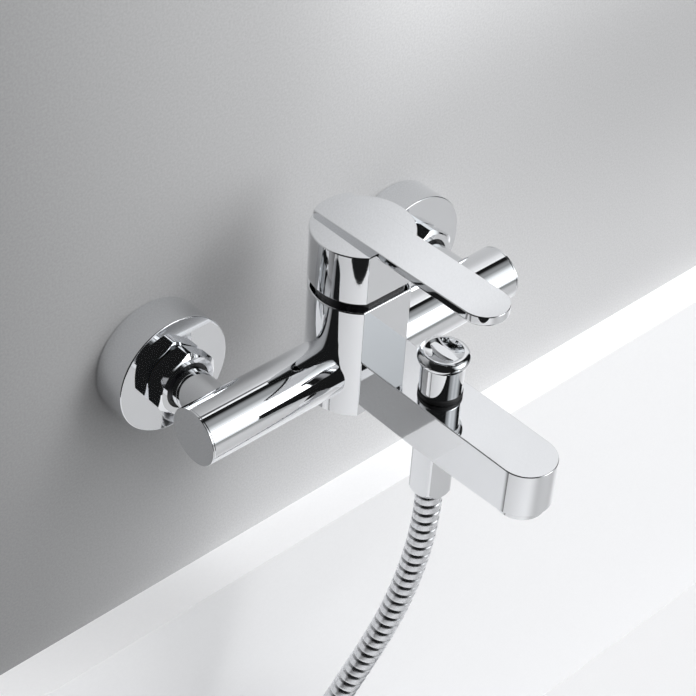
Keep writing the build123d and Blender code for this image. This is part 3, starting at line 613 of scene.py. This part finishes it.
def make_rose(side, x):
    """Deep round cup, open to the wall, with a softly rounded front edge."""
    low, high = reach(f"wall_rose_{side}")
    radius = (high.x - low.x) / 2
    depth = -low.y
    wall = 1.2
    hole = 13.52
    outline = soften(
        [
            (radius, 0),
            (radius, depth),
            (hole, depth),
            (hole, depth - wall),
            (radius - wall, depth - wall),
            (radius - wall, 0),
        ],
        0.6,
    )
    made = lathe(f"rose_{side}", outline, OUTWARD, (x, 0, AXIS_Z))
    return finish_piece(made, f"wall_rose_{side}", "wall_body")


def make_union_nut(side, x):
    """Hexagon nut with turned corners and 30 degree chamfers."""
    low, high = reach(f"union_nut_{side}")
    back, front = -high.y, -low.y
    flats, first_corner = 30.0, 23
    turned, chamfered = 16.7, 14.4
    thread_r, mouth_r, lip = 13.25, 11.7, 1.2
    rise = (turned - chamfered) * tan(radians(30))
    place = (x, 0, AXIS_Z)
    nut = hexagon_bar(f"hex_nut_{side}", flats, first_corner, back, front, OUTWARD, place)
    outline = [
        (thread_r, back),
        (chamfered, back),
        (turned, back + rise),
        (turned, front - rise),
        (chamfered, front),
        (mouth_r, front),
        (mouth_r, front - lip),
        (thread_r, front - lip),
    ]
    combine(nut, shared=[lathe("limit", outline, OUTWARD, place, 120)])
    return finish_piece(nut, f"union_nut_{side}", "wall_body", edge=0.16, sharp=24)


def make_end_plug(side, sign):
    """Round end plate of the cross tube, with its plug and seal groove behind."""
    plug_r, groove_r = 8.98, 7.4
    plate, groove_start, groove_end, end = -1.0, -3.5, -5.5, -8.0
    outline = soften([(0, 0), (TUBE_R, 0), (TUBE_R, plate), (plug_r, plate), (plug_r, groove_start),
                      (groove_r, groove_start), (groove_r, groove_end), (plug_r, groove_end),
                      (plug_r, end), (0, end)], 0.25)
    turn = RIGHTWARD if sign > 0 else LEFTWARD
    made = lathe(f"end_cap_{side}", outline, turn, (sign * TUBE_END, AXIS_Y, AXIS_Z))
    return finish_piece(made, f"tube_end_plug_{side}", "wall_body")


def make_union(side, x):
    """Eccentric union: thread in the wall, a step sideways, a skirt in the nut and its bore."""
    wall_end = reach(f"wall_union_{side}")[1].y
    thread_r, pitch, depth, relief = 10.48, 1.814, 1.0, 0.35
    start, run_out = 1.5, 1.0
    shift, bore_r, wide_bore_r, skirt_r = 6.0, 6.5, 8.0, 13.2
    around, steps = 72, 96

    def thread(out, angle):
        fade = clamp((wall_end + out) / start) * clamp(-out - run_out)
        wave = abs(2 * ((out / pitch + angle / (2 * pi)) % 1.0) - 1)
        return thread_r - relief * (1 - fade) - depth * wave * fade

    sections = []
    for k in range(steps + 1):
        out = -wall_end + (wall_end - 0.2) * k / steps
        sections.append((out, 0.0, thread))
    for out, rise, radius in (
        (-0.2, 0.0, 10.4),
        (0.0, 0.0, 10.5),
        (0.0, 0.0, 11.5),
        (0.3, 0.2, 11.8),
        (8.6, 5.7, 12.5),
        (9.0, shift, 12.7),
        (9.0, shift, skirt_r),
        (23.0, shift, skirt_r),
        (23.5, shift, 12.6),
        (23.5, shift, wide_bore_r),
        (9.0, shift, wide_bore_r),
        (0.0, 0.0, bore_r),
        (-wall_end, 0.0, bore_r),
    ):
        sections.append((out, rise, radius))
    points = []
    for out, rise, radius in sections:
        for j in range(around):
            angle = 2 * pi * j / around
            local = radius(out, angle) if callable(radius) else radius
            points.append((local * cos(angle), rise + local * sin(angle), out))
    faces = []
    for i in range(len(sections)):
        after = (i + 1) % len(sections)
        for j in range(around):
            k = (j + 1) % around
            faces.append((i * around + j, i * around + k, after * around + k, after * around + j))
    made = put(f"eccentric_union_{side}", points, faces, OUTWARD, (x, 0, 0))
    return finish_piece(made, f"wall_union_{side}", "wall_body", sharp=40)


for side, sign in (("left", -1), ("right", 1)):
    make_rose(side, sign * INLET_X)
    make_union_nut(side, sign * INLET_X)
    make_end_plug(side, sign)
    make_union(side, sign * INLET_X)

# ---- main body --------------------------------------------------------------------------------
BODY_R, BODY_FLAT = 23.4, 18.7
BODY_LOW, BODY_HIGH = -20, 40
SPOUT_HALF = 13.8
SPOUT_TIP = -reach("main_body")[0].y
SPOUT_TOP = 11.8
END_GAP = 1.02  # the end plates' thickness and a hair of clearance


def underside(y):
    """Height of the spout's gently arched underside: a parabola through three points."""
    points = ((AXIS_Y, -12.3), (-127.5, -13.6), (-SPOUT_TIP - 1, -11.2))
    total = 0.0
    for i, (here, level) in enumerate(points):
        share = level
        for j, (other, _) in enumerate(points):
            if i != j:
                share *= (y - other) / (here - other)
        total += share
    return AXIS_Z + total


def upright_bore(y, low, high, radius, segments):
    """Cutter for an upright bore, with heights from the body's axis."""
    return drill((0, y, AXIS_Z + low), (0, y, AXIS_Z + high), radius, segments)


def make_main_body():
    """Barrel, spout, cross tube and necks as one casting, with its main bores."""
    body = prism(
        "faucet_body", flatted(BODY_R, BODY_FLAT), AXIS_Z + BODY_LOW, AXIS_Z + BODY_HIGH, 0.6, 0.6
    )
    half = [(0, AXIS_Y)]
    steps = 24
    for k in range(steps + 1):
        half.append((SPOUT_HALF, AXIS_Y + (AERATOR_Y - AXIS_Y) * k / steps))
    half += arc(SPOUT_HALF, 0, -90, 36, (0, AERATOR_Y))[1:]
    half[-1] = (0, AERATOR_Y - SPOUT_HALF)
    spout = prism("spout", half, underside, AXIS_Z + SPOUT_TOP, 0.5, 0.45)
    inner_end = TUBE_END - END_GAP
    tube_outline = soften(
        [(0, -inner_end), (TUBE_R, -inner_end), (TUBE_R, inner_end), (0, inner_end)], 0.3
    )
    tube = lathe("tube", tube_outline, RIGHTWARD, (0, AXIS_Y, AXIS_Z), 168)
    neck_r, groove_r, neck_end = 10, 9.25, 25
    inlet_r, water_r, plug_bore_r = 6.5, 6.0, 9.0
    necks = []
    cutters = []
    for sign in (-1, 1):
        x = sign * INLET_X
        neck = soften([(0, neck_end), (neck_r, neck_end), (neck_r, 25.55), (groove_r, 25.55),
                       (groove_r, 27.1), (neck_r, 27.1), (neck_r, -AXIS_Y), (0, -AXIS_Y)], 0.15)
        necks.append(lathe("neck", neck, OUTWARD, (x, 0, AXIS_Z), 96))
        cutters.append(drill((x, 1 - neck_end, AXIS_Z), (x, AXIS_Y, AXIS_Z), inlet_r))
        for inner, radius in ((4.8, water_r), (85.5, plug_bore_r)):
            cutters.append(
                drill((sign * inner, AXIS_Y, AXIS_Z), (sign * 95, AXIS_Y, AXIS_Z), radius)
            )
    cutters += [
        upright_bore(AXIS_Y, 8, 41, 15.02, 96),  # cartridge
        upright_bore(AXIS_Y, 36, 41, 16.02, 96),  # cartridge nut
        upright_bore(DIVERTER_Y, -21, 13, 8.36, 72),  # diverter
        cut_box((-6, AERATOR_Y, AXIS_Z + 2.8), (6, DIVERTER_Y, AXIS_Z + 8.6)),  # way to the tip
        upright_bore(AERATOR_Y, -1.9, 8.6, 7.5, 64),  # water down to the aerator
        upright_bore(AERATOR_Y, -20, -1.8, 10.22, 96),  # aerator thread
        upright_bore(AERATOR_Y, -20, -9.2, 11.5, 96),  # aerator rim
    ]
    combine(body, [spout, tube, *necks], cutters)
    return finish_piece(body, "main_body", "wall_body")


make_main_body()

# ---- handle -----------------------------------------------------------------------------------
CAP_R, CAP_FLAT = 23.7, 19.3
CAP_BOTTOM, CAP_TOP = 45.0, 70.3
CAP_WALL = 1.4
LEVER_HALF = 11.07
SCREW_Z = AXIS_Z + 57.5
LEVER_TIP = -reach("handle_lever")[0].y


def lever_top(y):
    """Height of the lever's top, which rises slightly towards the tip."""
    return AXIS_Z + 72.9 + 1.5 * (AXIS_Y - y) / (LEVER_TIP + AXIS_Y)


def make_handle():
    """Hollow cap with a flat front and the long lever bar on it, one casting."""
    cap = prism(
        "handle", flatted(CAP_R, CAP_FLAT, 0.7), AXIS_Z + CAP_BOTTOM, AXIS_Z + CAP_TOP, 0.45, 0.55
    )
    back_r = CAP_R - 0.5
    half = [point for point in arc(back_r, 90, 0, 60, (0, AXIS_Y)) if point[0] < LEVER_HALF]
    half[0] = (0, AXIS_Y + back_r)
    half.append((LEVER_HALF, AXIS_Y + sqrt(back_r**2 - LEVER_HALF**2)))
    half = soften(half + [(LEVER_HALF, AXIS_Y)], 0.8, closed=False)
    tip_y = -LEVER_TIP + LEVER_HALF
    half += arc(LEVER_HALF, 0, -90, 36, (0, tip_y))
    half[-1] = (0, -LEVER_TIP)
    bar = prism("bar", half, AXIS_Z + 69.2, lever_top, 1.5, 0.4, steps=5)
    inside = prism(
        "inside",
        flatted(CAP_R - CAP_WALL, CAP_FLAT - CAP_WALL),
        AXIS_Z + CAP_BOTTOM - 5,
        AXIS_Z + CAP_TOP - 3,
        0.1,
        0.5,
    )
    combine(cap, [bar], [inside])
    hub_r, hub_low, hub_high = 6.6, AXIS_Z + 51.5, AXIS_Z + 68
    hub_outline = [(0, hub_low), (hub_r, hub_low), (hub_r, hub_high), (0, hub_high)]
    hub = lathe("hub", hub_outline, UPRIGHT, (0, AXIS_Y, 0), 64)
    stem = 3.52
    socket = cut_box((-stem, AXIS_Y - stem, AXIS_Z + 51), (stem, AXIS_Y + stem, AXIS_Z + 63.6))
    screw = drill((0, AXIS_Y + 2, SCREW_Z), (0, AXIS_Y + 7.6, SCREW_Z), 2.52, 48)
    plug = drill((0, AXIS_Y + CAP_R - 3, SCREW_Z), (0, AXIS_Y + CAP_R + 1, SCREW_Z), 3.0)
    combine(cap, [hub], [socket, screw, plug])
    return finish_piece(cap, "handle_lever", "lever")


make_handle()

# ---- diverter knob ----------------------------------------------------------------------------
KNOB_BASE, KNOB_TOP = AXIS_Z + 14.6, AXIS_Z + 33.0
KNOB_R, RIM_R, RIM_ROUND = 9.8, 11.9, 3.2
GRIP_HALF, GRIP_REACH, GRIP_RISE = 2.3, 9.5, 2.0
RIM_Z = AXIS_Z + 32.6


def smooth(value):
    """Smooth step from 0 to 1."""
    value = clamp(value)
    return value * value * (3 - 2 * value)


def knob_height(radius, angle, level):
    """Lens-shaped finger grip raised in the dished top, along the spout."""
    if level < KNOB_TOP - 0.01 or radius > RIM_R - RIM_ROUND:
        return level
    across, along = radius * cos(angle), radius * sin(angle)
    half = GRIP_HALF * max(0.0, 1 - (along / GRIP_REACH) ** 2)
    raised = 1 - smooth((abs(across) - half) / 1.0)
    return level + raised * max(0.0, KNOB_TOP + GRIP_RISE - level)


def make_knob():
    """Round pull knob with a wide rolled rim and a dished top with a grip across it."""
    outline = [(0, KNOB_BASE)]
    outline += soften([(2.5, KNOB_BASE), (KNOB_R, KNOB_BASE), (KNOB_R, KNOB_BASE + 3)], 0.4,
                      closed=False)
    rim_x = RIM_R - RIM_ROUND
    outline += arc(RIM_ROUND, -66, 88, 40, (rim_x, RIM_Z))
    start, crest = outline[-1]
    steps = 90
    for k in range(1, steps):
        radius = start * (1 - k / steps)
        outline.append((radius, KNOB_TOP + (crest - KNOB_TOP) * (radius / start) ** 2))
    outline.append((0, KNOB_TOP))
    made = lathe("pull_knob", outline, UPRIGHT, (0, DIVERTER_Y, 0), 288, knob_height)
    return finish_piece(made, "diverter_knob", "diverter", sharp=60)


make_knob()


def make_spring():
    """Diverter spring as one wire with even turns; the real spring is pressed together towards its top
    when the knob is pulled up.
    """
    low, high = reach("diverter_spring")
    wire, coil_r, turns, around = 0.35, 3.7, 7, 10
    steps = turns * 36
    climb = high.z - low.z - 2 * wire
    points = []
    for i in range(steps + 1):
        angle = 2 * pi * turns * i / steps
        level = low.z + wire + climb * i / steps
        for j in range(around):
            swing = 2 * pi * j / around
            radius = coil_r + wire * cos(swing)
            points.append((radius * cos(angle), radius * sin(angle), level + wire * sin(swing)))
    faces = [tuple(range(around)), tuple(range(steps * around, (steps + 1) * around))]
    for i in range(steps):
        for j in range(around):
            k = (j + 1) % around
            faces.append((i * around + j, i * around + k, (i + 1) * around + k, (i + 1) * around + j))
    made = put("spring_wire", points, faces, UPRIGHT, (0, DIVERTER_Y, 0))
    finish_piece(made, "diverter_spring", "wall_body", sharp=60)
    made.modifiers.clear()
    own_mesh(made)


make_spring()

# ---- aerator ----------------------------------------------------------------------------------
def make_aerator():
    """Screwed-in housing whose rim shows under the spout's tip."""
    bottom, rim_top, top, inside = -16.0, -9.25, -3.2, -14.8
    outline = soften([(8.4, bottom), (10.9, bottom), (11.4, bottom + 0.5), (11.4, rim_top),
                      (10.2, rim_top), (10.2, top), (9.0, top), (9.0, inside), (8.4, inside)], 0.25)
    made = lathe("aerator_ring", outline, UPRIGHT, (0, AERATOR_Y, AXIS_Z))
    return finish_piece(made, "aerator_housing", "wall_body")


make_aerator()

# ---- hose nuts --------------------------------------------------------------------------------
def make_hose_nut():
    """Slim hexagon nut with a rounded lower end, under the spout."""
    low, high = reach("hose_nut")
    bottom, top = low.z, high.z
    flats, first_corner = 19.0, 40
    turned, hose_hole, thread_r, bore_r = 10.7, 6.8, 8.36, 8.25
    place = (0, DIVERTER_Y, 0)
    nut = hexagon_bar("hex_hose_nut", flats, first_corner, bottom, top, UPRIGHT, place)
    outline = [
        (hose_hole, bottom),
        (8.0, bottom),
        (8.9, bottom + 0.7),
        (9.6, bottom + 1.6),
        (10.25, bottom + 2.8),
        (turned, bottom + 4.4),
        (turned, top - 0.6),
        (9.7, top),
        (thread_r, top),
        (thread_r, top - 10.7),
        (bore_r, top - 10.8),
        (bore_r, bottom + 3.1),
        (hose_hole, bottom + 3.1),
    ]
    combine(nut, shared=[lathe("limit", outline, UPRIGHT, place, 120)])
    return finish_piece(nut, "hose_nut", "wall_body", edge=0.14, sharp=24)


def make_cone_nut():
    """Conical nut at the hose's far end, with a shallow ring near its mouth."""
    low, high = reach("hose_cone_nut")
    centre = (low + high) / 2
    bottom, top = low.z, high.z
    wide_r, hole_r, thread_r, depth = 11.5, 6.8, 10.48, 9.6
    outline = soften([(hole_r, top), (7.8, top), (8.6, top - 0.8), (wide_r, bottom + 12.5),
                      (wide_r, bottom + 12.0), (11.2, bottom + 12.0), (11.2, bottom + 11.2),
                      (11.6, bottom + 11.2), (11.9, bottom + 1.5), (11.4, bottom),
                      (thread_r, bottom), (thread_r, bottom + depth), (10.7, bottom + depth),
                      (10.7, bottom + 12), (7.9, bottom + 12.6), (7.9, top - 2),
                      (hole_r, top - 2)], 0.3)
    made = lathe("cone_nut", outline, UPRIGHT, (centre.x, centre.y, 0))
    return finish_piece(made, "hose_cone_nut", "wall_body")


hose_nut = make_hose_nut()
cone_nut = make_cone_nut()

# ---- stage: wall, white ledge, pale floor -----------------------------------------------------
LEDGE_Z = -0.147
LEDGE_DEPTH = 0.024
FLOOR_Z = -0.46
STAGE_REACH, WALL_TOP = 2.5, 2.4
WALL_TONE, LEDGE_TONE, FLOOR_TONE = 0.52, 0.91, 0.95
# Painted light and shade: gradual changes of tone that stand in for the light's fall-off,
# (factor, (axis, from, to), ...). The tone goes to factor times its value where each axis named
# has gone from its first to its second place.
# painted shade towards the left, the right and the top left; painted light high up on the right and low
# down
WALL_PAINTED_SHADING = (
    (0.1, ("X", 0.08, -0.42)),
    (0.84, ("X", 0.06, 0.30)),
    (1.55, ("Z", 0.05, 0.20), ("X", -0.02, 0.1)),
    (1.3, ("Z", 0.04, -0.12), ("X", -0.15, -0.05)),
    (0.06, ("Z", 0.22, 0.29), ("X", 0.20, 0.12)),
)
# painted shade: the ledge darker towards the left, the floor darker towards the right and the front
LEDGE_PAINTED_SHADING = ((0.12, ("X", -0.2, -0.45)),)
FLOOR_PAINTED_SHADING = ((0.76, ("X", -0.4, 0.2)), (0.62, ("Y", -0.08, -0.40), ("X", -0.25, 0.1)))


def smooth_step(tree, source, start, end):
    """Node output that goes from 0 to 1 as the source goes from start to end."""
    step = tree.nodes.new("ShaderNodeMapRange")
    step.interpolation_type = "SMOOTHSTEP"
    step.inputs["From Min"].default_value = min(start, end)
    step.inputs["From Max"].default_value = max(start, end)
    step.inputs["To Min"].default_value = 0 if start < end else 1
    step.inputs["To Max"].default_value = 1 if start < end else 0
    tree.links.new(source, step.inputs["Value"])
    return step.outputs["Result"]


def math_node(tree, operation, first, second):
    """Node output of a sum or product; each side is a node output or a number."""
    made = tree.nodes.new("ShaderNodeMath")
    made.operation = operation
    for socket, value in zip(made.inputs, (first, second)):
        if isinstance(value, (int, float)):
            socket.default_value = value
        else:
            tree.links.new(value, socket)
    return made.outputs["Value"]


def stage_surface(name, tone, speckle, rough, painted_shading):
    """Pale surface with a fine speckle and painted light and shade, gradual changes of tone that
    stand in for the light's fall-off, seen from its front only so that the faucet's back can be
    looked at."""
    made = bpy.data.materials.new(name)
    made.use_nodes = True
    tree = made.node_tree
    shader = tree.nodes["Principled BSDF"]
    shader.inputs["Roughness"].default_value = rough
    place = tree.nodes.new("ShaderNodeTexCoord")
    split = tree.nodes.new("ShaderNodeSeparateXYZ")
    tree.links.new(place.outputs["Object"], split.inputs["Vector"])
    noise = tree.nodes.new("ShaderNodeTexNoise")
    noise.inputs["Scale"].default_value = 900
    noise.inputs["Detail"].default_value = 3
    tree.links.new(place.outputs["Object"], noise.inputs["Vector"])
    grain = tree.nodes.new("ShaderNodeMapRange")
    grain.inputs["From Min"].default_value = 0.35
    grain.inputs["From Max"].default_value = 0.65
    grain.inputs["To Min"].default_value = 1 - speckle
    grain.inputs["To Max"].default_value = 1 + speckle
    tree.links.new(noise.outputs["Fac"], grain.inputs["Value"])
    level = grain.outputs["Result"]
    # painted light and shade: the tone is raised or lowered where the light would be stronger or weaker
    for factor, *gradients in painted_shading:
        weight = 1.0
        for axis, start, end in gradients:
            step = smooth_step(tree, split.outputs[axis], start, end)
            weight = math_node(tree, "MULTIPLY", step, weight)
        change = math_node(tree, "ADD", math_node(tree, "MULTIPLY", weight, factor - 1), 1.0)
        level = math_node(tree, "MULTIPLY", level, change)
    scaled = tree.nodes.new("ShaderNodeVectorMath")
    scaled.operation = "SCALE"
    scaled.inputs[0].default_value = (tone, tone, tone * 1.01)
    tree.links.new(level, scaled.inputs["Scale"])
    tree.links.new(scaled.outputs["Vector"], shader.inputs["Base Color"])
    clear = tree.nodes.new("ShaderNodeBsdfTransparent")
    facing = tree.nodes.new("ShaderNodeNewGeometry")
    choose = tree.nodes.new("ShaderNodeMixShader")
    tree.links.new(facing.outputs["Backfacing"], choose.inputs[0])
    tree.links.new(shader.outputs[0], choose.inputs[1])
    tree.links.new(clear.outputs[0], choose.inputs[2])
    tree.links.new(choose.outputs[0], tree.nodes["Material Output"].inputs["Surface"])
    return made


def sheet_of(name, corners, finish):
    """Flat stage panel with its front towards the side its corners turn round."""
    made = add_mesh(name, corners, [tuple(range(len(corners)))])
    made.data.materials.append(finish)
    return made


def make_stage():
    """Grey wall behind, a white ledge below it, and a pale floor."""
    grey = stage_surface("wall_paint", WALL_TONE, 0.06, 0.75, WALL_PAINTED_SHADING)
    white = stage_surface("white_enamel", LEDGE_TONE, 0.01, 0.35, LEDGE_PAINTED_SHADING)
    pale = stage_surface("pale_floor", FLOOR_TONE, 0.01, 0.5, FLOOR_PAINTED_SHADING)
    side, front = STAGE_REACH, -LEDGE_DEPTH
    sheet_of("wall", [(-side, 0, LEDGE_Z), (side, 0, LEDGE_Z), (side, 0, WALL_TOP),
                      (-side, 0, WALL_TOP)], grey)
    sheet_of("ledge", [(-side, front, LEDGE_Z), (side, front, LEDGE_Z), (side, 0, LEDGE_Z),
                       (-side, 0, LEDGE_Z)], white)
    sheet_of("ledge_front", [(-side, front, FLOOR_Z), (side, front, FLOOR_Z),
                             (side, front, LEDGE_Z), (-side, front, LEDGE_Z)], white)
    # the floor's front left is left out, so that the chrome shows the dim room there
    rim = [(-0.8, front), (-0.8, -0.25), (-0.25, -0.8), (0.0, -0.9), (0.1, -side), (side, -side),
           (side, front)]
    sheet_of("floor", [(x, y, FLOOR_Z) for x, y in rim], pale)


make_stage()

# ---- light ------------------------------------------------------------------------------------
def softbox(name, place, target, width, height, power, mirrored):
    """Rectangular studio light that points at a target; mirrored if the chrome shows it."""
    data = bpy.data.lights.new(name, "AREA")
    data.shape = "RECTANGLE"
    data.size = width
    data.size_y = height
    data.energy = power
    light = bpy.data.objects.new(name, data)
    scene.collection.objects.link(light)
    light.location = place
    light.rotation_mode = "QUATERNION"
    light.rotation_quaternion = (Vector(target) - Vector(place)).to_track_quat("-Z", "Y")
    light.visible_glossy = mirrored


def aim(azimuth, elevation):
    """Direction at an angle to the right of straight out from the wall, and above level."""
    azimuth, elevation = radians(azimuth), radians(elevation)
    return (sin(azimuth) * cos(elevation), -cos(azimuth) * cos(elevation), sin(elevation))


def make_room(base, glows):
    """Dim room with some soft bright areas: (direction, full radius, faded radius, strength)."""
    world = bpy.data.worlds.new("room")
    world.use_nodes = True
    tree = world.node_tree
    place = tree.nodes.new("ShaderNodeTexCoord")
    total = None
    for direction, full, faded, strength in glows:
        dot = tree.nodes.new("ShaderNodeVectorMath")
        dot.operation = "DOT_PRODUCT"
        dot.inputs[1].default_value = direction
        tree.links.new(place.outputs["Generated"], dot.inputs[0])
        fade = tree.nodes.new("ShaderNodeMapRange")
        fade.interpolation_type = "SMOOTHSTEP"
        fade.inputs["From Min"].default_value = cos(radians(faded))
        fade.inputs["From Max"].default_value = cos(radians(full))
        fade.inputs["To Max"].default_value = strength
        tree.links.new(dot.outputs["Value"], fade.inputs["Value"])
        add = tree.nodes.new("ShaderNodeMath")
        add.operation = "ADD"
        add.inputs[1].default_value = base
        if total:
            tree.links.new(total, add.inputs[1])
        tree.links.new(fade.outputs["Result"], add.inputs[0])
        total = add.outputs["Value"]
    background = tree.nodes["Background"]
    background.inputs["Color"].default_value = (0.95, 0.98, 1.0, 1)
    tree.links.new(total, background.inputs["Strength"])
    scene.world = world


def make_lights():
    """A softbox at the front right that the chrome shows, two lights above that it doesn't, and
    a dim room."""
    softbox("softbox", (0.64, -1.16, 0.33), (0, -0.1, 0), 0.62, 0.8, 3, True)
    softbox("key", (0.75, -0.95, 1.05), (0, -0.05, 0), 0.8, 0.8, 13, False)
    softbox("top", (0.1, -0.75, 1.5), (0, -0.45, -0.4), 2.2, 1.5, 24, False)
    make_room(0.012, (
        (aim(32, 14), 14, 36, 1.2),
        (aim(52, 50), 3, 16, 0.35),
        (aim(10, 38), 4, 15, 0.35),
    ))
    scene.view_settings.view_transform = "Standard"


make_lights()

# ---- last update of the view layer ------------------------------------------------------------
bpy.context.view_layer.update()
